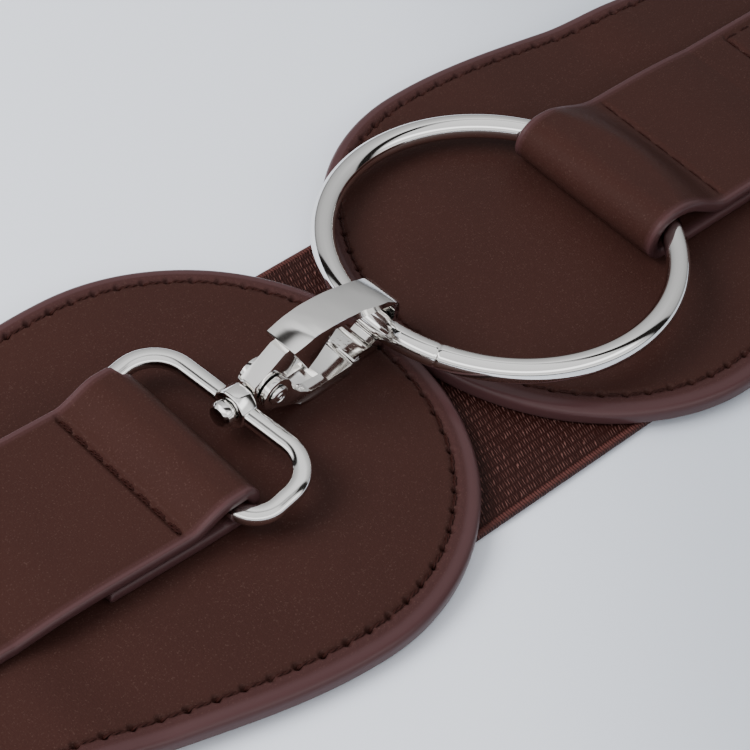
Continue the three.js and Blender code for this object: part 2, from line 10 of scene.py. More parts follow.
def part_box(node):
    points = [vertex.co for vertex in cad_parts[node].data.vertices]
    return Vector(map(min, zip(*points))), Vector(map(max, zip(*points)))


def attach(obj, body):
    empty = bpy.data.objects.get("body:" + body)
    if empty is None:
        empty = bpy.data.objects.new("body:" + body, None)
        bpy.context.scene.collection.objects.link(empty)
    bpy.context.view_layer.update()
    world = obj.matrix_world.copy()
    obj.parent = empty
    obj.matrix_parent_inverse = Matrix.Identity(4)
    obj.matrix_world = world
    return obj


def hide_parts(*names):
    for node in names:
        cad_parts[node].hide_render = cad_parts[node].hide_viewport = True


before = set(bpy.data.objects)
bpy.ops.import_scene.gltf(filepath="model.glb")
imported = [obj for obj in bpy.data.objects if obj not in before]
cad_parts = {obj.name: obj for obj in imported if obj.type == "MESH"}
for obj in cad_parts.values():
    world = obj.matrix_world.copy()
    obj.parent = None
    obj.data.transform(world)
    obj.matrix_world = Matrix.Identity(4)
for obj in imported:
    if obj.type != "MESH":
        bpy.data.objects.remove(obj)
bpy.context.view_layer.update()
ringLow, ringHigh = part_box("ring")
ringMiddle = (ringLow + ringHigh) / 2

# Sizes in millimetres, from the middle of the ring, at the surface
stack = {"elastic": 1.2, "gap": 0.3, "panel": 2.7, "strap": 2.1}
stack["bandTop"] = stack["elastic"] + stack["gap"]
stack["panelTop"] = stack["bandTop"] + stack["panel"]
stack["strapRest"] = stack["panelTop"] + stack["gap"]
band = {"width": 60.0, "shift": -6.7, "overlap": 60.0, "fold": 11.0, "rise": 15.0, "lead": 3.0, "edge": 0.45}
panel = {
    "radius": 40.8, "length": 150.0, "tail": 31.5, "taper": 65.0, "corner": 7.0,
    "droop": 9.0, "lean": math.radians(2.5), "near": 0.7, "far": 1.4,
}
panelTips = {-1: (-24.3, -5.3), 1: (-24.4, -2.9)}
strapWidth = 31.0
strapCorner = 0.82
ring = {
    "radius": 28.5, "wire": 4.0, "height": 9.25, "tiltX": -0.05, "tiltY": -0.01,
    "seamTurn": math.radians(-156), "seamStep": 0.3, "seamNeck": 0.9, "seamShoulder": 0.985,
}
clasp = {"x": -57.3, "y": -0.6, "yaw": math.radians(2), "height": 9.8}
bail = {
    "width": 36.5, "length": 16.9, "wire": 3.0, "thick": 2.5, "yaw": math.radians(5.5),
    "front": 6.5, "rear": 4.5, "collar": -0.7, "squareness": 0.72,
}


def place(x, y, z):
    return Vector((ringMiddle.x + x * 0.001, ringMiddle.y + y * 0.001, z * 0.001))


def smooth(share):
    t = min(max(share, 0.0), 1.0)
    return t * t * (3 - 2 * t)


def mix(a, b, share):
    return a + (b - a) * share


chance = random.Random(7)


# Meshes

# One surface from a grid of columns and rows, each corner moved to at(column, row)
def gridPiece(name, columns, rows, at, uvAt, material, angle=180):
    mesh = bmesh.new()
    bmesh.ops.create_grid(mesh, x_segments=columns, y_segments=rows, size=0.5)
    uvLayer = mesh.loops.layers.uv.new("UVMap")
    spots = {v: (round((v.co.x + 0.5) * columns), round((v.co.y + 0.5) * rows)) for v in mesh.verts}
    for face in mesh.faces:
        for loop in face.loops:
            loop[uvLayer].uv = uvAt(*spots[loop.vert])
    for vert, spot in spots.items():
        vert.co = at(*spot)
    bmesh.ops.remove_doubles(mesh, verts=mesh.verts, dist=2e-6)
    bmesh.ops.dissolve_degenerate(mesh, edges=mesh.edges, dist=1e-7)
    bmesh.ops.recalc_face_normals(mesh, faces=mesh.faces)
    return finishPiece(name, mesh, material, angle)


def finishPiece(name, mesh, material, angle=180):
    data = bpy.data.meshes.new(name)
    mesh.to_mesh(data)
    mesh.free()
    data.materials.append(material)
    for polygon in data.polygons:
        polygon.use_smooth = True
    if angle < 180:
        data.set_sharp_from_angle(angle=math.radians(angle))
    piece = bpy.data.objects.new(name, data)
    bpy.context.scene.collection.objects.link(piece)
    return piece


# Materials

def newMaterial(name, color, roughness, metallic=0.0):
    material = bpy.data.materials.new(name)
    material.use_nodes = True
    shader = material.node_tree.nodes["Principled BSDF"]
    shader.inputs["Base Color"].default_value = (*color, 1)
    shader.inputs["Roughness"].default_value = roughness
    shader.inputs["Metallic"].default_value = metallic
    return material, shader


leather, leatherShader = newMaterial("leather", (0.0325, 0.0131, 0.0107), 0.44)
webbing, webbingShader = newMaterial("webbing", (0.03, 0.011, 0.008), 0.75)
thread, threadShader = newMaterial("thread", (0.022, 0.006, 0.0045), 0.6)
nickel, _ = newMaterial("nickel", (0.9, 0.885, 0.86), 0.07, 1.0)
casting, castingShader = newMaterial("casting", (0.9, 0.885, 0.86), 0.1, 1.0)
floorPaint, floorShader = newMaterial("floor", (0.7, 0.72, 0.755), 0.9)


def newGroup(name, inputs, outputs):
    group = bpy.data.node_groups.new(name, "ShaderNodeTree")
    for label, kind, value in inputs:
        socket = group.interface.new_socket(name=label, in_out="INPUT", socket_type=kind)
        if value is not None:
            socket.default_value = value
    for label, kind in outputs:
        group.interface.new_socket(name=label, in_out="OUTPUT", socket_type=kind)
    return group, group.nodes.new("NodeGroupInput"), group.nodes.new("NodeGroupOutput")


def feed(tree, socket, value):
    if isinstance(value, bpy.types.NodeSocket):
        tree.links.new(value, socket)
    else:
        socket.default_value = value


def calculate(tree, operation, *values):
    node = tree.nodes.new("ShaderNodeMath")
    node.operation = operation
    for socket, value in zip(node.inputs, values):
        feed(tree, socket, value)
    return node.outputs[0]


def times(tree, first, second):
    return calculate(tree, "MULTIPLY", first, second)


def plus(tree, first, second):
    return calculate(tree, "ADD", first, second)


def remap(tree, value, low, high, newLow=0.0, newHigh=1.0):
    node = tree.nodes.new("ShaderNodeMapRange")
    node.interpolation_type = "SMOOTHSTEP"
    for socket, given in zip(node.inputs, (value, low, high, newLow, newHigh)):
        feed(tree, socket, given)
    return node.outputs[0]


def blendColors(tree, share, first, second):
    node = tree.nodes.new("ShaderNodeMix")
    node.data_type = "RGBA"
    feed(tree, node.inputs["Factor"], share)
    feed(tree, node.inputs[6], first)
    feed(tree, node.inputs[7], second)
    return node.outputs[2]


def noise(tree, vector, scale, detail=2.0):
    node = tree.nodes.new("ShaderNodeTexNoise")
    feed(tree, node.inputs["Vector"], vector)
    feed(tree, node.inputs["Scale"], scale)
    node.inputs["Detail"].default_value = detail
    return node.outputs["Fac"]


def splitVector(tree, vector):
    node = tree.nodes.new("ShaderNodeSeparateXYZ")
    feed(tree, node.inputs[0], vector)
    return node.outputs


def joinVector(tree, x, y, z=0.0):
    node = tree.nodes.new("ShaderNodeCombineXYZ")
    for socket, value in zip(node.inputs, (x, y, z)):
        feed(tree, socket, value)
    return node.outputs[0]


def addBump(material, shader, height, distance):
    bump = material.node_tree.nodes.new("ShaderNodeBump")
    bump.inputs["Distance"].default_value = distance
    material.node_tree.links.new(height, bump.inputs["Height"])
    material.node_tree.links.new(bump.outputs[0], shader.inputs["Normal"])


# Fine grained leather: its pores, its faint mottling, tiny lighter specks of painted sheen, and the paint on
# its cut edges
def leatherGroup():
    tree, start, end = newGroup("leatherSkin", [
        ("Place", "NodeSocketVector", None),
        ("Inset", "NodeSocketFloat", 0.1),
        ("Face Color", "NodeSocketColor", (0.0322, 0.013, 0.0106, 1)),
        ("Edge Color", "NodeSocketColor", (0.057, 0.0255, 0.0265, 1)),
        ("Grain Scale", "NodeSocketFloat", 2600.0),
        ("Edge Width", "NodeSocketFloat", 0.023),
    ], [
        ("Color", "NodeSocketColor"),
        ("Roughness", "NodeSocketFloat"),
        ("Coat", "NodeSocketFloat"),
        ("Height", "NodeSocketFloat"),
    ])
    onEdge = remap(tree, start.outputs["Inset"], start.outputs["Edge Width"], 0.015, 0.0, 1.0)
    pores = tree.nodes.new("ShaderNodeTexVoronoi")
    feed(tree, pores.inputs["Vector"], start.outputs["Place"])
    feed(tree, pores.inputs["Scale"], start.outputs["Grain Scale"])
    cells = pores.outputs["Distance"]
    mottle = noise(tree, start.outputs["Place"], 45.0, 3.0)
    sheenSpecks = noise(tree, start.outputs["Place"], 3800.0, 1.0)
    mottling = remap(tree, mottle, 0.3, 0.7, 0.0, 0.16)
    face = blendColors(tree, mottling, start.outputs["Face Color"], (0.048, 0.018, 0.014, 1))
    margin = remap(tree, start.outputs["Inset"], 0.04, 0.026, 0.0, 0.45)
    face = blendColors(tree, margin, face, start.outputs["Edge Color"])
    # Tiny lighter specks blended into the face colour: painted sheen glinting on the grain
    face = blendColors(tree, remap(tree, sheenSpecks, 0.6, 0.76, 0.0, 0.36), face, (0.095, 0.055, 0.045, 1))
    feed(tree, end.inputs["Color"], blendColors(tree, onEdge, face, start.outputs["Edge Color"]))
    feed(tree, end.inputs["Roughness"], remap(tree, onEdge, 0.0, 1.0, 0.44, 0.4))
    feed(tree, end.inputs["Coat"], remap(tree, onEdge, 0.0, 1.0, 0.0, 0.3))
    grain = times(tree, cells, calculate(tree, "SUBTRACT", 1.0, onEdge))
    swell = times(tree, noise(tree, start.outputs["Place"], 260.0), 1.2)
    feed(tree, end.inputs["Height"], plus(tree, grain, swell))
    return tree


# Ribbed elastic: rows of slanted threads along the band, and a corded edge on each side, with painted shade
# in the hollows between threads
def weaveGroup():
    tree, start, end = newGroup("ribbedWeave", [
        ("Flat Place", "NodeSocketVector", None),
        ("Width", "NodeSocketFloat", 0.6),
        ("Rib Pitch", "NodeSocketFloat", 0.0138),
        ("Thread Pitch", "NodeSocketFloat", 0.0053),
        ("Edge Width", "NodeSocketFloat", 0.013),
        ("Thread Color", "NodeSocketColor", (0.125, 0.056, 0.048, 1)),
        ("Shaded Gap Color", "NodeSocketColor", (0.017, 0.0045, 0.0035, 1)),
        ("Edge Color", "NodeSocketColor", (0.085, 0.03, 0.026, 1)),
    ], [
        ("Color", "NodeSocketColor"),
        ("Height", "NodeSocketFloat"),
    ])
    x, y, _ = splitVector(tree, start.outputs["Flat Place"])
    ribs = calculate(tree, "DIVIDE", y, start.outputs["Rib Pitch"])
    rib = calculate(tree, "FLOOR", ribs)
    across = calculate(tree, "FRACT", ribs)
    stagger = tree.nodes.new("ShaderNodeTexWhiteNoise")
    stagger.noise_dimensions = "1D"
    feed(tree, stagger.inputs["W"], rib)
    wanderPlace = joinVector(tree, times(tree, x, 110.0), times(tree, rib, 3.7))
    wander = noise(tree, wanderPlace, 1.0, 2.0)
    along = calculate(tree, "DIVIDE", x, start.outputs["Thread Pitch"])
    along = plus(tree, along, times(tree, across, -0.95))
    along = plus(tree, along, times(tree, stagger.outputs["Value"], 0.9))
    along = plus(tree, along, times(tree, wander, 1.8))
    wave = calculate(tree, "SINE", times(tree, along, 2 * math.pi))
    threads = remap(tree, wave, -0.3, 1.0)
    each = tree.nodes.new("ShaderNodeTexWhiteNoise")
    each.noise_dimensions = "2D"
    threadNumber = calculate(tree, "FLOOR", plus(tree, along, 0.25))
    feed(tree, each.inputs["Vector"], joinVector(tree, threadNumber, rib))
    threads = times(tree, threads, remap(tree, each.outputs["Value"], 0.0, 1.0, 0.2, 1.3))
    roundRib = calculate(tree, "SINE", times(tree, across, math.pi))
    weave = times(tree, threads, remap(tree, roundRib, 0.05, 0.95, 0.1, 1.0))
    edgeWidth = start.outputs["Edge Width"]
    fromEdge = calculate(tree, "MINIMUM", y, calculate(tree, "SUBTRACT", start.outputs["Width"], y))
    onEdge = remap(tree, fromEdge, edgeWidth, times(tree, edgeWidth, 0.85))
    cord = times(tree, calculate(tree, "DIVIDE", fromEdge, edgeWidth), math.pi)
    cord = calculate(tree, "ABSOLUTE", calculate(tree, "SINE", cord))
    fine = plus(tree, calculate(tree, "DIVIDE", x, start.outputs["Thread Pitch"]), wander)
    fine = calculate(tree, "SINE", times(tree, fine, 2 * math.pi))
    edgeHeight = plus(tree, times(tree, cord, 0.8), times(tree, remap(tree, fine, -1.0, 1.0), 0.6))
    # Colour follows the height: raised threads and cord crests take the yarn colours, while gaps, rib sides
    # and cord dips darken to the gap colour, which is partly the dark ground yarn and partly painted shade
    body = blendColors(tree, weave, start.outputs["Shaded Gap Color"], start.outputs["Thread Color"])
    onCord = remap(tree, edgeHeight, 0.15, 0.9)
    edge = blendColors(tree, onCord, start.outputs["Shaded Gap Color"], start.outputs["Edge Color"])
    feed(tree, end.inputs["Color"], blendColors(tree, onEdge, body, edge))
    low = times(tree, weave, calculate(tree, "SUBTRACT", 1.0, onEdge))
    feed(tree, end.inputs["Height"], plus(tree, low, times(tree, edgeHeight, onEdge)))
    return tree


def useGroup(material, tree):
    node = material.node_tree.nodes.new("ShaderNodeGroup")
    node.node_tree = tree
    return node


def dressLeather():
    tree = leather.node_tree
    group = useGroup(leather, leatherGroup())
    spot = tree.nodes.new("ShaderNodeTexCoord")
    feed(tree, group.inputs["Place"], spot.outputs["Object"])
    feed(tree, group.inputs["Inset"], splitVector(tree, spot.outputs["UV"])[1])
    feed(tree, leatherShader.inputs["Base Color"], group.outputs["Color"])
    feed(tree, leatherShader.inputs["Roughness"], group.outputs["Roughness"])
    feed(tree, leatherShader.inputs["Coat Weight"], group.outputs["Coat"])
    leatherShader.inputs["Coat Roughness"].default_value = 0.24
    leatherShader.inputs["Specular IOR Level"].default_value = 0.07
    addBump(leather, leatherShader, group.outputs["Height"], 0.000035)


def dressWebbing():
    tree = webbing.node_tree
    group = useGroup(webbing, weaveGroup())
    spot = tree.nodes.new("ShaderNodeTexCoord")
    feed(tree, group.inputs["Flat Place"], spot.outputs["UV"])
    feed(tree, webbingShader.inputs["Base Color"], group.outputs["Color"])
    webbingShader.inputs["Specular IOR Level"].default_value = 0.12
    webbingShader.inputs["Roughness"].default_value = 0.45
    addBump(webbing, webbingShader, group.outputs["Height"], 0.00035)


def dressFloor():
    tree = floorPaint.node_tree
    spot = tree.nodes.new("ShaderNodeTexCoord")
    x, y, _ = splitVector(tree, spot.outputs["Object"])
    # Painted light falloff: the floor is lighter towards -X and +Y and darker towards +X and -Y
    across = calculate(tree, "SUBTRACT", times(tree, x, 0.8), times(tree, y, 0.6))
    share = remap(tree, across, 0.0, 0.055)
    paintedFalloff = blendColors(tree, share, (0.75, 0.785, 0.86, 1), (0.57, 0.61, 0.68, 1))
    feed(tree, floorShader.inputs["Base Color"], paintedFalloff)


def dressCasting():
    tree = casting.node_tree
    spot = tree.nodes.new("ShaderNodeTexCoord")
    addBump(casting, castingShader, noise(tree, spot.outputs["Object"], 260.0, 1.0), 0.00003)


dressLeather()
dressWebbing()
dressCasting()
dressFloor()
threadShader.inputs["Specular IOR Level"].default_value = 0.15


# Front panels

def panelFrame(side):
    along = (side * math.cos(panel["lean"]), math.sin(panel["lean"]))
    x = panelTips[side][0] + along[0] * panel["radius"]
    y = panelTips[side][1] + along[1] * panel["radius"]
    across = (-side * along[1], side * along[0])

    def toBelt(u, v):
        run = u - panel["radius"]
        return x + along[0] * run + across[0] * v, y + along[1] * run + across[1] * v

    def shareAlong(px, py):
        return (px - x) * along[0] + (py - y) * along[1] + panel["radius"]

    def axisY(px):
        return y + (px - x) * along[1] / along[0]

    return {"toBelt": toBelt, "shareAlong": shareAlong, "axisY": axisY}


panelFrames = {side: panelFrame(side) for side in (-1, 1)}
tailX = {side: panelFrames[side]["toBelt"](panel["length"], 0)[0] for side in (-1, 1)}
foldX = {side: tailX[side] + side * (band["lead"] + band["rise"]) for side in (-1, 1)}
endX = {side: tailX[side] - side * band["overlap"] for side in (-1, 1)}


# Centre line of the band's back, which meets each panel's own line at its fold
def backY(x):
    left = smooth((endX[-1] - x) / (endX[-1] - foldX[-1]))
    right = smooth((x - endX[1] / 2) / (foldX[1] - endX[1] / 2))
    toLeft = (panelFrames[-1]["axisY"](foldX[-1]) - band["shift"]) / 2
    toRight = (panelFrames[1]["axisY"](foldX[1]) - band["shift"]) / 2
    return band["shift"] + toLeft * left + toRight * right


# Height of a panel's underside, which comes down past the band's edges
def overBack(x, y):
    off = y - backY(x)
    edge = panel["near"] if off < 0 else panel["far"]
    outside = abs(off) - band["width"] / 2 - stack["gap"]
    return mix(stack["bandTop"], edge, smooth(outside / panel["droop"]))


# Extra height of a panel's tail, which lies on the band's front end
def tailLift(u):
    start = panel["length"] - band["overlap"]
    return stack["bandTop"] * smooth((u - start + band["rise"]) / (band["rise"] - 1))


# The line resampled to evenly spaced points, and its length
def evenLine(points, count, closed):
    line = np.array(points + points[:1] if closed else points, float)
    steps = np.linalg.norm(np.diff(line, axis=0), axis=1)
    reach = np.concatenate([[0], np.cumsum(steps)])
    spots = np.linspace(0, reach[-1], count + 1)
    if closed:
        spots = spots[:-1]
    return np.stack([np.interp(spots, reach, line[:, k]) for k in range(line.shape[1])], axis=1), reach[-1]


def panelOutline():
    half = []
    radius, tail, corner = panel["radius"], panel["tail"], panel["corner"]
    for k in range(61):
        turn = math.pi / 2 * k / 60
        half.append((radius * (1 - math.cos(turn)), radius * math.sin(turn)))
    for k in range(1, 61):
        share = k / 60
        wave = 0.5 * (1 + math.cos(math.pi * share))
        half.append((radius + panel["taper"] * share, tail + (radius - tail) * wave))
    straight = panel["length"] - corner
    for k in range(13):
        turn = math.pi / 2 * k / 12
        half.append((straight + corner * math.sin(turn), tail - corner * (1 - math.cos(turn))))
    return half + [(u, -v) for u, v in reversed(half[1:])]


seam = {
    "inset": 3.55, "lean": 0.55, "pitch": 4.3, "depth": 0.35, "width": 0.5, "thread": 0.58,
    "pit": 0.52, "pitDepth": 1.0, "lip": 0.12,
}


# How much nearer to the edge the seam runs on the far side, and how much less near on the near side
def seamShift(v):
    return -seam["lean"] * min(max(v / 30, -1), 1)


# Height of a panel's upper face over the flat, by the distance from its edge
def rimHeight(inset):
    rim = -0.12 * max(0.0, 1 - inset / 3.0) ** 2
    groove = -seam["depth"] * math.exp(-(((inset - seam["inset"]) / seam["width"]) ** 2))
    field = 0.18 * smooth((inset - 5) / 7)
    return rim + groove + field


def panelPiece(side):
    frameHere = panelFrames[side]
    columns = 1380
    outline, length = evenLine(panelOutline(), columns, True)
    stitches = round(length / seam["pitch"])
    pitch = length / stitches
    thick = stack["panel"]
    pits = []
    for k in range(stitches):
        arc = k * pitch + chance.uniform(-0.15, 0.15)
        pits.append((arc, chance.uniform(-0.12, 0.12), chance.uniform(0.8, 1.1)))
    profile = []
    for inset in (200, 30, 12, 5, 1.2):
        profile.append((inset, 0.0, False))
    for degrees in range(0, 91, 30):
        turn = math.radians(degrees)
        profile.append((0.45 * (1 - math.sin(turn)), 0.45 * (1 - math.cos(turn)), False))
    for degrees in range(0, 91, 15):
        turn = math.radians(degrees)
        profile.append((1.0 * (1 - math.cos(turn)), thick - 1.0 + math.sin(turn), True))
    nearSeam = (1.4, 2.0, 2.5, 2.8, 3.05, 3.25, 3.4, 3.55, 3.7, 3.85, 4.05, 4.3, 4.65, 5.1, 5.7, 6.6)
    for inset in nearSeam + (8.0, 10.5, 15, 20, 26, 200):
        profile.append((inset, thick, True))

    def at(column, row):
        u, v = outline[column % columns]
        inset, height, upper = profile[row]
        foot = min(max(u, panel["radius"]), panel["length"] - panel["tail"])
        reach = math.hypot(u - foot, v)
        moved = seamShift(v) * smooth((inset - 1) / 1.5) * (1 - smooth((inset - 6) / 5)) if upper else 0.0
        share = max(0.0, 1 - (inset + moved) / reach)
        x, y = frameHere["toBelt"](foot + (u - foot) * share, v * share)
        z = overBack(x, y) + tailLift(frameHere["shareAlong"](x, y)) + height
        if upper:
            z += rimHeight(inset)
            hole = pits[round(column / columns * length / pitch) % stitches]
            off = (column / columns * length - hole[0] + length / 2) % length - length / 2
            away = math.hypot(off / seam["pit"], (inset - seam["inset"] - hole[1]) / seam["pit"])
            lip = seam["lip"] * math.exp(-(((away - 1.7) / 0.6) ** 2))
            z += hole[2] * (lip - seam["pitDepth"] * math.exp(-(away ** 2)))
        return place(x, y, z)

    def uvAt(column, row):
        return column / columns * length / 100, min(profile[row][0], 40) / 100

    name = "leftPanelLeather" if side < 0 else "rightPanelLeather"
    piece = gridPiece(name, columns, len(profile) - 1, at, uvAt, leather)
    stitchLine(name.replace("Leather", "Stitches"), outline, length, stitches, frameHere)
    return piece


# A stitch: two strands twisted together, whose ends dip into their holes
def threadBar(mesh, start, end, up, radius, sink, turns=1.6):
    axis = end - start
    across = axis.cross(up).normalized()
    up = across.cross(axis).normalized()
    phase = chance.uniform(0, math.pi)
    for strand in (0, math.pi):
        rings = []
        for step in range(15):
            share = step / 14
            dip = sink * (abs(share - 0.5) * 2) ** 4
            twist = phase + strand + 2 * math.pi * turns * share
            middle = start + axis * share - up * dip
            middle += (across * math.cos(twist) + up * math.sin(twist)) * (radius * 0.42)
            thick = radius * (0.4 if step in (0, 14) else 0.62)
            loop = []
            for k in range(6):
                turn = math.pi * k / 3
                spot = middle + across * (thick * math.cos(turn)) + up * (thick * math.sin(turn))
                loop.append(mesh.verts.new(spot))
            rings.append(loop)
        for a, b in zip(rings, rings[1:]):
            for k in range(6):
                mesh.faces.new((a[k], a[(k + 1) % 6], b[(k + 1) % 6], b[k]))
        mesh.faces.new(list(reversed(rings[0])))
        mesh.faces.new(rings[-1])


def stitchLine(name, outline, length, stitches, frameHere):
    mesh = bmesh.new()
    fine = len(outline)

    def spotAt(arc, inset):
        u, v = outline[int(round(arc / length * fine)) % fine]
        foot = min(max(u, panel["radius"]), panel["length"] - panel["tail"])
        share = 1 - (inset + seamShift(v)) / math.hypot(u - foot, v)
        x, y = frameHere["toBelt"](foot + (u - foot) * share, v * share)
        under = overBack(x, y) + tailLift(frameHere["shareAlong"](x, y))
        return place(x, y, under + stack["panel"] + rimHeight(seam["inset"]))

    pitch = length / stitches
    for k in range(stitches):
        start = spotAt((k + 0.03) * pitch, seam["inset"] + 0.14)
        end = spotAt((k + 0.97) * pitch, seam["inset"] - 0.14)
        lift = Vector((0, 0, 0.00008))
        threadBar(mesh, start + lift, end + lift, Vector((0, 0, 1)), seam["thread"] * 0.0005, 0.0008)
    bmesh.ops.recalc_face_normals(mesh, faces=mesh.faces)
    piece = finishPiece(name, mesh, thread)
    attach(piece, "belt")


# Straps

# How much of the height over the held part the upper layer keeps, at this distance from the fold
def strapRise(options, y, distance):
    start = options["start"] + options["bow"](y)
    return 1 - smooth((distance - start) / (options["seam"] - start))


# The strap's middle line, each point with its x and z, its distance from the fold,
# its share of the held height, and how near the top it is
def strapLine(options):
    mid = stack["strap"] / 2
    low = stack["strapRest"] + mid
    top = options["heldTop"] + stack["gap"] + mid
    double = low + stack["strap"] + stack["gap"]
    radius = (top - low) / 2
    side = options["direction"]
    turnX = options["front"] - side * (radius + mid)
    start = radius + mid
    options["start"] = start
    options["climb"] = top - double
    frameHere = panelFrames[-side]
    line = []
    for k in range(241):
        distance = options["length"] + (start - options["length"]) * k / 240
        overHeld = strapRise(options, 0, distance)
        overLower = 1 - min(max((distance - options["lower"] - stack["gap"]) / 26, 0), 1) ** 2
        x = options["front"] - side * distance
        sewn = low + (double - low) * overLower
        onPanel = low + tailLift(frameHere["shareAlong"](x, options["centreY"]))
        z = max(sewn, onPanel) + (top - double) * overHeld
        line.append((x, z, distance, overHeld, 1.0))
    for k in range(1, 41):
        turn = math.pi * k / 40
        share = 0.5 * (1 + math.cos(turn))
        z = low + radius * (1 + math.cos(turn))
        line.append((turnX + side * radius * math.sin(turn), z, start, 1.0, share))
    for k in range(1, 61):
        distance = start + (options["lower"] - start) * k / 60
        line.append((options["front"] - side * distance, low, distance, 1.0, 0.0))
    return line


# The folded strap, with a rounded section, and its seams as grooves with thread in them
def strapPiece(name, options, seams):
    line = strapLine(options)
    rows = 330
    even, length = evenLine([tuple(p) for p in line], rows, False)
    flat = even[:, :2]
    tangent = np.gradient(flat, axis=0)
    tangent /= np.linalg.norm(tangent, axis=1)[:, None]
    normal = np.stack([-tangent[:, 1], tangent[:, 0]], axis=1) * options["direction"]
    thick = stack["strap"]
    corner = strapCorner
    section = []
    acrossSteps = 44
    for k in range(acrossSteps + 1):
        section.append((k / acrossSteps - 0.5, 0.5, 0.0))
    for degrees in range(15, 180, 15):
        turn = math.radians(degrees)
        bend = math.copysign(abs(math.cos(turn)) ** 0.8, math.cos(turn))
        section.append((0.5, bend * 0.5, math.sin(turn) ** 0.9))
    for k in range(9):
        section.append((0.5 - k / 8, -0.5, 0.0))
    for degrees in range(15, 180, 15):
        turn = math.radians(degrees)
        bend = math.copysign(abs(math.cos(turn)) ** 0.8, -math.cos(turn))
        section.append((-0.5, bend * 0.5, -(math.sin(turn) ** 0.9)))
    caps = 5
    spots = [(0, 1 - k / caps) for k in range(caps)]
    spots += [(row, 0.0) for row in range(rows + 1)]
    spots += [(rows, (k + 1) / caps) for k in range(caps)]

    def surfaceAt(row, y, depth):
        x, z, distance, held, top = even[row]
        lift = options["slope"] * y * held * top
        if top > 0.999:
            lift += options["climb"] * (strapRise(options, y, distance) - strapRise(options, 0, distance))
        return (x + normal[row][0] * depth, y, z + normal[row][1] * depth + lift)

    def spreadAt(row):
        _, _, distance, _, top = even[row]
        return max(smooth((top - 0.97) / 0.03), smooth(distance / 10 - 0.5))

    def widthAt(row):
        return mix(options["foldWidth"], strapWidth, spreadAt(row))

    def centreAt(row):
        free = mix(options["centreY"], options["endY"], smooth(even[row][2] / 50))
        return mix(options["heldY"], free, spreadAt(row))

    def at(column, spot):
        row, cap = spots[spot]
        share, face, bulge = section[column % len(section)]
        width = widthAt(row) - 2 * corner
        y = centreAt(row) + width * share + bulge * corner
        shrink = math.sqrt(max(0.0, 1 - cap * cap))
        crown = 0.0
        if face == 0.5:
            edge = (0.5 - abs(share)) * width
            crown = -0.12 * math.exp(-edge / 1.5)
            for sewing in seams:
                crown -= seamDepth(sewing, row, y - centreAt(row), even)
        x, y, z = surfaceAt(row, y, thick * face * shrink + crown * shrink)
        run = math.sqrt(1 - shrink * shrink) * corner * (-1 if row == 0 else 1)
        x += tangent[row][0] * run
        z += tangent[row][1] * run
        return place(x, y, z)

    def uvAt(column, spot):
        share, _, bulge = section[column % len(section)]
        inset = (0.5 - abs(share)) * 66 + 1.5 * (1 - abs(bulge))
        return spots[spot][0] / rows * length / 100, inset / 100

    piece = gridPiece(name, len(section), len(spots) - 1, at, uvAt, leather)
    mesh = bmesh.new()
    for sewing in seams:
        addSeam(mesh, sewing, even, surfaceAt, centreAt, thick)
    bmesh.ops.recalc_face_normals(mesh, faces=mesh.faces)
    stitches = finishPiece(name + "Stitches", mesh, thread)
    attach(stitches, "belt")
    return piece


# The row of the upper layer that is nearest to this distance from the fold
def upperRow(even, distance):
    upper = np.where(even[:, 4] > 0.999)[0]
    return int(upper[np.argmin(np.abs(even[upper, 2] - distance))])


def seamDepth(sewing, row, y, even):
    if even[row][4] < 0.999:
        return 0.0
    distance = even[row][2]
    if sewing["across"]:
        off = (distance - sewing["at"]) / sewing["width"]
        inside = smooth((sewing["half"] - abs(y)) / 0.8 + 0.5)
    else:
        off = (abs(y) - sewing["half"]) / sewing["width"]
        inside = smooth((distance - sewing["at"]) / 0.8 + 0.5)
    return sewing["depth"] * math.exp(-(off * off)) * inside


def addSeam(mesh, sewing, even, surfaceAt, centreAt, thick):
    radius = sewing["thread"] * 0.0005
    if sewing["across"]:
        row = upperRow(even, sewing["at"])
        count = round(2 * sewing["half"] / sewing["pitch"])
        for k in range(count):
            begin = -sewing["half"] + 2 * sewing["half"] * (k + 0.04) / count
            finish = -sewing["half"] + 2 * sewing["half"] * (k + 0.96) / count
            for strand in sewing["strands"]:
                rowA = upperRow(even, sewing["at"] + strand - sewing["skew"])
                rowB = upperRow(even, sewing["at"] + strand + sewing["skew"])
                depth = thick / 2 - sewing["depth"] * 0.75
                start = place(*surfaceAt(rowA, centreAt(row) + begin, depth))
                end = place(*surfaceAt(rowB, centreAt(row) + finish, depth))
                threadBar(mesh, start, end, Vector((0, 0, 1)), radius, 0.0005)
    else:
        first = sewing["at"]
        last = sewing["until"]
        count = round((last - first) / sewing["pitch"])
        for side in (-1, 1):
            for k in range(count):
                rowA = upperRow(even, mix(first, last, (k + 0.05) / count))
                rowB = upperRow(even, mix(first, last, (k + 0.95) / count))
                depth = thick / 2 - sewing["depth"] * 0.75
                y = side * sewing["half"]
                start = place(*surfaceAt(rowA, centreAt(rowA) + y + sewing["skew"], depth))
                end = place(*surfaceAt(rowB, centreAt(rowB) + y - sewing["skew"], depth))
                threadBar(mesh, start, end, Vector((0, 0, 1)), radius, 0.0005)


# Elastic band

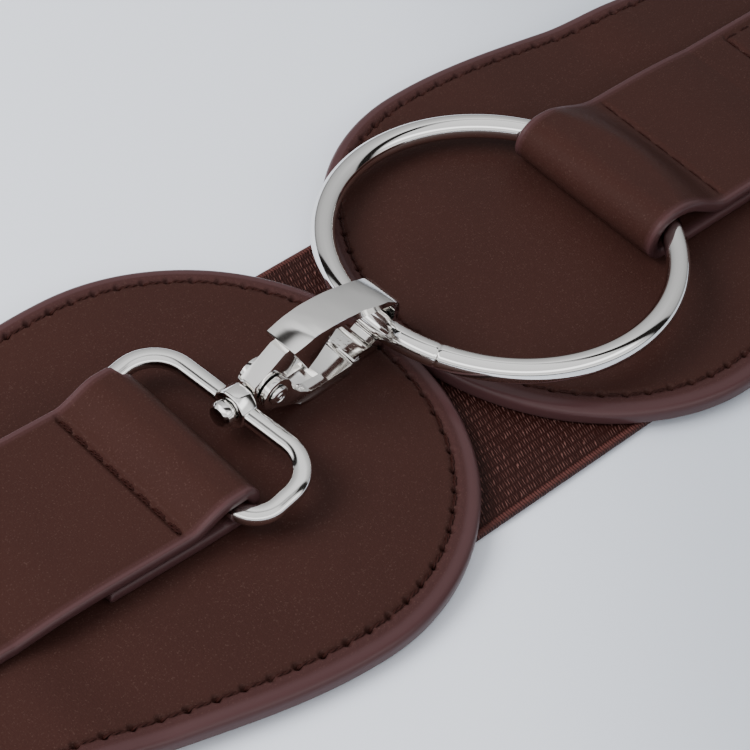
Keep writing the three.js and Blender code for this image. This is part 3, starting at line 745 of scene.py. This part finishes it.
# The band from its left front end round the left fold, along the back and round to its right front end
def elasticPiece():
    mid = stack["elastic"] / 2
    front = stack["bandTop"] + mid
    radius = (band["fold"] - stack["elastic"]) / 2
    top = mid + 2 * radius
    halves = []
    for side in (-1, 1):
        half = []
        frameHere = panelFrames[side]
        start = tailX[side] + side * band["lead"]
        for k in range(25):
            x = mix(endX[side], start, k / 24)
            half.append((x, front, frameHere["axisY"](x), 1.0))
        for k in range(1, 25):
            share = k / 24
            x = start + side * band["rise"] * share
            half.append((x, mix(front, top, smooth(share)), frameHere["axisY"](x), 1 - smooth(share)))
        for k in range(1, 33):
            turn = math.pi * k / 32
            y = mix(frameHere["axisY"](foldX[side]), backY(foldX[side]), smooth(k / 32))
            z = mid + radius * (1 + math.cos(turn))
            half.append((foldX[side] + side * radius * math.sin(turn), z, y, 0.0))
        halves.append(half)
    line = halves[0]
    for k in range(1, 120):
        x = mix(foldX[-1], foldX[1], k / 120)
        line.append((x, mid, backY(x), 0.0))
    line += reversed(halves[1])
    rows = 420
    even, length = evenLine(line, rows, False)
    tangent = np.gradient(even[:, :2], axis=0)
    tangent /= np.linalg.norm(tangent, axis=1)[:, None]
    section = [(k / 30 - 0.5, 0.5, 0.0) for k in range(31)]
    bends = [math.radians(degrees) for degrees in range(30, 180, 30)]
    section += [(0.5, 0.5 * math.cos(turn), math.sin(turn)) for turn in bends]
    section += [(0.5 - k / 30, -0.5, 0.0) for k in range(31)]
    section += [(-0.5, -0.5 * math.cos(turn), -math.sin(turn)) for turn in bends]
    edge = band["edge"]

    def at(column, row):
        share, face, bulge = section[column % len(section)]
        step = min(max(row - 1, 0), rows)
        x, z, y, sag = even[step]
        nx, nz = -tangent[step][1], tangent[step][0]
        if row in (0, rows + 2):
            face = 0.0
        across = y + (band["width"] - 2 * edge) * share + bulge * edge
        drop = sag * (overBack(x, across) - stack["bandTop"])
        depth = stack["elastic"] * face
        return place(x + nx * depth, across, z + nz * depth + drop)

    def uvAt(column, row):
        share, _, bulge = section[column % len(section)]
        across = 0.5 + share * (1 - 2 * edge / band["width"]) + bulge * edge / band["width"]
        return min(max(row - 1, 0), rows) / rows * length / 100, across * band["width"] / 100

    piece = gridPiece("elasticWebbing", len(section), rows + 2, at, uvAt, webbing)
    print("elastic length", round(length, 1))
    return piece


# Metal

def claspPoint(x, y, z):
    cos, sin = math.cos(clasp["yaw"]), math.sin(clasp["yaw"])
    return place(clasp["x"] + x * cos - y * sin, clasp["y"] + x * sin + y * cos, z)


# The ring, whose butt seam is a narrow groove round the wire
def ringPiece():
    turnBack = Matrix.Rotation(ring["tiltX"], 3, "X") @ Matrix.Rotation(ring["tiltY"], 3, "Y")
    columns, rows = 32, 240

    def at(column, row):
        turn = 2 * math.pi * row / rows + ring["seamTurn"]
        around = 2 * math.pi * (column % columns) / columns
        gap = min(row, rows - row)
        if 0 < gap < 3:
            turn = ring["seamTurn"] + math.radians(ring["seamStep"] * gap * gap) * (1 if row == gap else -1)
        wire = ring["wire"] / 2
        if gap == 0:
            wire *= ring["seamNeck"]
        elif gap == 1:
            wire *= ring["seamShoulder"]
        out = ring["radius"] + wire * math.cos(around)
        spot = turnBack @ Vector((out * math.cos(turn), out * math.sin(turn), wire * math.sin(around)))
        return place(spot.x, spot.y, spot.z + ring["height"])

    return gridPiece("ringWire", columns, rows, at, lambda c, r: (r / rows, c / columns), nickel)


def bailPiece():
    rearZ = stack["strapRest"] + stack["strap"] + stack["gap"] + bail["thick"] / 2
    run = bail["length"] - bail["wire"]
    slope = math.asin((clasp["height"] - rearZ) / run)
    half = (bail["width"] - bail["wire"]) / 2
    corners = [
        (-bail["front"], half - bail["front"], bail["front"], 90),
        (-bail["front"], -(half - bail["front"]), bail["front"], 0),
        (-run + bail["rear"], -(half - bail["rear"]), bail["rear"], -90),
        (-run + bail["rear"], half - bail["rear"], bail["rear"], -180),
    ]
    line = []
    for x, y, radius, start in corners:
        for k in range(17):
            turn = math.radians(start - 90 * k / 16)
            line.append((x + radius * math.cos(turn), y + radius * math.sin(turn)))
    rows = 240
    even, _ = evenLine(line, rows, True)
    turned = Matrix.Rotation(bail["yaw"] - clasp["yaw"], 3, "Z") @ Matrix.Rotation(-slope, 3, "Y")
    section = []
    halfWire = bail["wire"] / 2
    for k in range(40):
        turn = 2 * math.pi * k / 40
        power = bail["squareness"]
        c, s = math.cos(turn), math.sin(turn)
        out = halfWire * math.copysign(abs(c) ** power, c)
        section.append((out, bail["thick"] / 2 * math.copysign(abs(s) ** power, s)))

    def at(column, row):
        k = row % rows
        before, after = even[(k - 1) % rows], even[(k + 1) % rows]
        dx, dy = after - before
        reach = math.hypot(dx, dy)
        out, up = section[column % len(section)]
        spot = turned @ Vector((even[k][0] + dy / reach * out, even[k][1] - dx / reach * out, up))
        return claspPoint(spot.x + bail["collar"], spot.y, spot.z + clasp["height"])

    return gridPiece("bailWire", len(section), rows, at, lambda c, r: (r / rows, c / 40), casting)


# A finished casting from a CAD node: its flat faces joined and cut, its sides shifted by draft,
# and its edges rounded
def castCopy(name, node, bevel, draft, cuts):
    mesh = bmesh.new()
    mesh.from_mesh(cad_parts[node].data)
    bmesh.ops.remove_doubles(mesh, verts=mesh.verts, dist=1e-6)
    bmesh.ops.dissolve_limit(mesh, angle_limit=math.radians(1), verts=mesh.verts, edges=mesh.edges)
    origin = claspPoint(0, 0, 0)
    along = claspPoint(1000, 0, 0) - origin
    for x, z in cuts:
        normal = along if z == 0 else Vector((0, 0, 1))
        whole = mesh.verts[:] + mesh.edges[:] + mesh.faces[:]
        bmesh.ops.bisect_plane(mesh, geom=whole, plane_co=claspPoint(x, 0, z), plane_no=normal)
    across = claspPoint(0, 1000, 0) - origin
    for vert in mesh.verts:
        spot = (vert.co - origin) * 1000
        x, y, z = spot.dot(along), spot.dot(across), spot.z
        vert.co += across * math.copysign(draft(x, y, z) * 0.001, y)
    sharp = [e for e in mesh.edges if len(e.link_faces) == 2 and e.calc_face_angle(0) > math.radians(28)]
    bmesh.ops.bevel(
        mesh, geom=sharp, offset=bevel, affect="EDGES",
        segments=3, profile=0.5, material=-1, clamp_overlap=True)
    bmesh.ops.recalc_face_normals(mesh, faces=mesh.faces)
    return finishPiece(name, mesh, casting, 35)


armTop = {"x": (6.8, 11.3, 16.2, 21.2, 27.1, 30.5), "z": (18.8, 19.9, 19.7, 18.7, 16.8, 14.6)}


# The arm's sides lean out below its top, and the near one has a facet under the top
def armDraft(x, y, z):
    if abs(y) < 2.1 or abs(y) > 2.5:
        return 0.0
    down = np.interp(x, armTop["x"], armTop["z"]) - z
    facet = 0.95 * max(0.0, 1 - down / 0.8) if y < 0 else 0.0
    return (0.5 * down - 0.25 - facet) * smooth((z - 13) / 1.5)


# The gate's cheeks are rounded over from a wider foot
def gateDraft(x, y, z):
    if abs(y) < 2.2:
        return 0.0
    up = min(max((z - 4.6) / 2.6, 0), 1)
    return (0.45 - 1.3 * up ** 1.4) * smooth((x - 6.5) / 6)


# The bail's round eye for the hook's post, with soft flats round it
def collarPiece():
    profile = [(-2.35, 1.72), (-2.35, 0.9), (-2.2, 0.97), (-1.9, 1.0)]
    profile += [(0.5, 1.0), (0.8, 0.97), (0.95, 0.9), (0.95, 1.72)]
    columns = 96

    def at(column, row):
        x, r = profile[row % len(profile)]
        turn = 2 * math.pi * (column % columns) / columns
        flat = math.pi / 4
        off = (turn + flat / 2) % flat - flat / 2
        radius = mix(3.25, 3.25 * math.cos(flat / 2) / math.cos(off), 0.55) * r if r < 1.5 else r
        return claspPoint(x, radius * math.cos(turn), clasp["height"] + radius * math.sin(turn))

    rows = len(profile)
    return gridPiece("bailCollar", columns, rows, at, lambda c, r: (c / columns, r / rows), casting, 50)


# A round piece: profile is (distance along the axis, radius) pairs, from one end to the other
def turnedPiece(name, profile, centre, axis, material, steps=40):
    mesh = bmesh.new()
    side = axis.cross(Vector((0, 0, 1))).normalized()
    verts = [mesh.verts.new(centre + axis * (a * 0.001) + side * (r * 0.001)) for a, r in profile]
    edges = [mesh.edges.new((a, b)) for a, b in zip(verts, verts[1:])]
    bmesh.ops.spin(
        mesh, geom=verts + edges, cent=centre, axis=axis, angle=2 * math.pi, steps=steps, use_duplicate=False)
    bmesh.ops.remove_doubles(mesh, verts=mesh.verts, dist=1e-6)
    bmesh.ops.recalc_face_normals(mesh, faces=mesh.faces)
    return finishPiece(name, mesh, material, 35)


def rivetPiece():
    rivetLow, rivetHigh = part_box("gate_rivet")
    centre = (rivetLow + rivetHigh) / 2
    axis = (claspPoint(0, 1, 0) - claspPoint(0, 0, 0)).normalized()
    reach = 3.45
    end = [(0.0, 0.0), (0.0, 0.3), (0.1, 0.42), (0.12, 0.6), (0.0, 0.76), (0.0, 0.94)]
    end += [(0.1, 1.08), (0.08, 1.35), (-0.04, 1.56), (-0.2, 1.68), (-0.36, 1.7), (-0.36, 0.9)]
    profile = [(reach + a, r) for a, r in end]
    profile += [(-a, r) for a, r in reversed(profile)]
    return turnedPiece("rivetHeads", profile, centre, axis, casting)


# The ridges across the tip of the gate
def ridgesPiece():
    mesh = bmesh.new()
    for k in range(4):
        x, z = 21.6 + 0.95 * k, 7.75 - 0.08 * k
        threadBar(mesh, claspPoint(x, -2.1, z), claspPoint(x, 2.1, z), Vector((0, 0, 1)), 0.0003, 0.0001)
    bmesh.ops.recalc_face_normals(mesh, faces=mesh.faces)
    return finishPiece("gateRidges", mesh, casting)


print("panels")
pieces = {}
pieces["leftPanel"] = panelPiece(-1)
pieces["rightPanel"] = panelPiece(1)
print("straps")
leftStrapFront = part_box("left_strap")[1].x * 1000 - ringMiddle.x * 1000
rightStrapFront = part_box("right_strap")[0].x * 1000 - ringMiddle.x * 1000
bailTop = stack["strapRest"] + stack["strap"] + stack["gap"] + bail["thick"]
wireTop = ring["height"] + ring["radius"] * math.sin(-ring["tiltY"]) + ring["wire"] / 2
endSeam = {
    "half": 12.7, "width": 0.45, "depth": 0.5, "pitch": 3.6, "thread": 0.45, "strands": (0,), "skew": 0.1,
}
leftStrap = {
    "direction": 1, "front": leftStrapFront, "centreY": -0.1, "heldY": -1.2, "endY": 1.0, "foldWidth": 28.6,
    "heldTop": bailTop + 0.3, "bow": lambda y: 2.0, "seam": 13.4, "length": 76.0, "lower": 27.0, "slope": 0.0,
}
foldSeam = {
    "across": True, "at": 13.7, "half": 13.7, "width": 0.6, "depth": 1.0, "pitch": 3.6,
    "thread": 0.55, "strands": (-0.18, 0.2), "skew": 0.22,
}
pieces["leftStrap"] = strapPiece("leftStrapLeather", leftStrap, [
    foldSeam,
    {**endSeam, "across": True, "at": 62.0},
    {**endSeam, "across": False, "at": 62.0, "until": 74.0},
])


# How far behind the fold's front the strap still lies over the ring's wire
def ringBow(y):
    return math.sqrt(ring["radius"] ** 2 - y ** 2) - rightStrapFront - ring["wire"]


rightStrap = {
    "direction": -1, "front": rightStrapFront, "centreY": 0.0, "heldY": 0.0, "endY": 0.0,
    "foldWidth": strapWidth, "heldTop": wireTop, "bow": ringBow, "seam": 20.0, "length": 78.0, "lower": 27.0,
    "slope": math.tan(ring["tiltX"]),
}
pieces["rightStrap"] = strapPiece("rightStrapLeather", rightStrap, [
    {**endSeam, "across": True, "at": 20.0, "half": 13.4, "depth": 0.6, "thread": 0.4, "skew": 0.08},
    {**endSeam, "across": True, "at": 52.0, "half": 12.9},
    {**endSeam, "across": False, "at": 52.0, "until": 76.0, "half": 12.9},
])
print("elastic")
pieces["elastic"] = elasticPiece()
print("metal")
pieces["ring"] = ringPiece()
pieces["bail"] = bailPiece()
pieces["collar"] = collarPiece()
gateCuts = [(x, 0) for x in range(6, 15)] + [(0, z) for z in (5.1, 5.6, 6.0, 6.4, 6.7, 7.0)]
pieces["hook"] = castCopy("hookCasting", "hook_body", 0.0004, armDraft, ())
pieces["gate"] = castCopy("gateCasting", "gate", 0.00025, gateDraft, gateCuts)
pieces["rivet"] = rivetPiece()
pieces["ridges"] = ridgesPiece()

stands = {
    "leftPanel": ["left_panel"], "rightPanel": ["right_panel"], "leftStrap": ["left_strap"],
    "rightStrap": ["right_strap"], "elastic": ["elastic_band"], "ring": ["ring"], "bail": ["bail"],
    "collar": ["bail"], "hook": ["hook_body"], "gate": ["gate"], "ridges": ["gate"], "rivet": ["gate_rivet"],
}
for key, piece in pieces.items():
    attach(piece, "gate" if key in ("gate", "ridges") else "belt")
    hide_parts(*stands[key])

# Floor, light and camera
print("stage")
floorMesh = bmesh.new()
bmesh.ops.create_grid(floorMesh, x_segments=1, y_segments=1, size=3)
bmesh.ops.translate(floorMesh, verts=floorMesh.verts, vec=(0, 0, -0.00005))
floor = finishPiece("floor", floorMesh, floorPaint)

world = bpy.data.worlds.new("studio")
bpy.context.scene.world = world
world.use_nodes = True
sky = world.node_tree


def skyRamp(stops, value):
    node = sky.nodes.new("ShaderNodeValToRGB")
    node.color_ramp.interpolation = "EASE"
    while len(node.color_ramp.elements) < len(stops):
        node.color_ramp.elements.new(0.5)
    for element, (spot, level) in zip(node.color_ramp.elements, stops):
        element.position = spot
        element.color = (level, level * 1.005, level * 1.02, 1)
    feed(sky, node.inputs[0], value)
    return node.outputs[0]


direction = splitVector(sky, sky.nodes.new("ShaderNodeTexCoord").outputs["Generated"])
# Towards is how far a direction points to the camera's side
towards = plus(sky, times(sky, direction[0], -0.8), times(sky, direction[1], -0.6))
farStops = [(0.0, 0.1), (0.08, 0.3), (0.3, 0.5), (0.62, 0.62), (0.76, 0.75), (0.88, 1.15)]
farSky = skyRamp(farStops, direction[2])
nearStops = [(0.0, 0.05), (0.06, 0.1), (0.14, 1.3), (0.3, 1.0), (0.42, 1.0)]
nearStops += [(0.5, 2.6), (0.62, 2.6), (0.7, 1.0), (1.0, 1.1)]
nearSky = skyRamp(nearStops, direction[2])
skyColor = blendColors(sky, remap(sky, towards, -0.2, 0.05), farSky, nearSky)
gap = times(sky, remap(sky, towards, -0.42, -0.36), remap(sky, towards, -0.12, -0.2))
gap = times(sky, gap, remap(sky, direction[2], 0.97, 0.9))
skyColor = blendColors(sky, gap, skyColor, (0.015, 0.013, 0.012, 1))
feed(sky, sky.nodes["Background"].inputs["Color"], skyColor)


def softbox(name, position, target, size, power):
    light = bpy.data.lights.new(name, "AREA")
    light.shape = "RECTANGLE"
    light.size, light.size_y = size
    light.energy = power
    box = bpy.data.objects.new(name, light)
    bpy.context.scene.collection.objects.link(box)
    box.location = position
    box.visible_glossy = False
    box.rotation_euler = (Vector(target) - Vector(position)).to_track_quat("-Z", "Y").to_euler()


key = {"position": (-0.33, 0.2, 0.36), "target": (-0.08, 0, 0), "size": (0.34, 0.28), "power": 3.6}
softbox("keyLight", **key)

shot = {
    "azimuth": 217.0446, "elevation": 46.3791, "roll": 12.0212, "distance": 436.258,
    "lens": 134.81, "target": (-29.4304, -3.1081, 0.0),
}
cameraData = bpy.data.cameras.new("camera")
cameraData.lens = shot["lens"]
cameraData.sensor_width = 36
cameraData.clip_start = 0.01
camera = bpy.data.objects.new("camera", cameraData)
bpy.context.scene.collection.objects.link(camera)
azimuth, elevation, roll = (math.radians(shot[key]) for key in ("azimuth", "elevation", "roll"))
level = math.cos(elevation)
back = Vector((level * math.cos(azimuth), level * math.sin(azimuth), math.sin(elevation)))
right = Vector((0, 0, 1)).cross(back).normalized()
up = back.cross(right)
turnedRight = math.cos(roll) * right + math.sin(roll) * up
turnedUp = math.cos(roll) * up - math.sin(roll) * right
spin = Matrix((turnedRight, turnedUp, back)).transposed()
position = place(*shot["target"]) + back * shot["distance"] * 0.001
camera.matrix_world = Matrix.Translation(position) @ spin.to_4x4()
bpy.context.scene.camera = camera

bpy.context.view_layer.update()
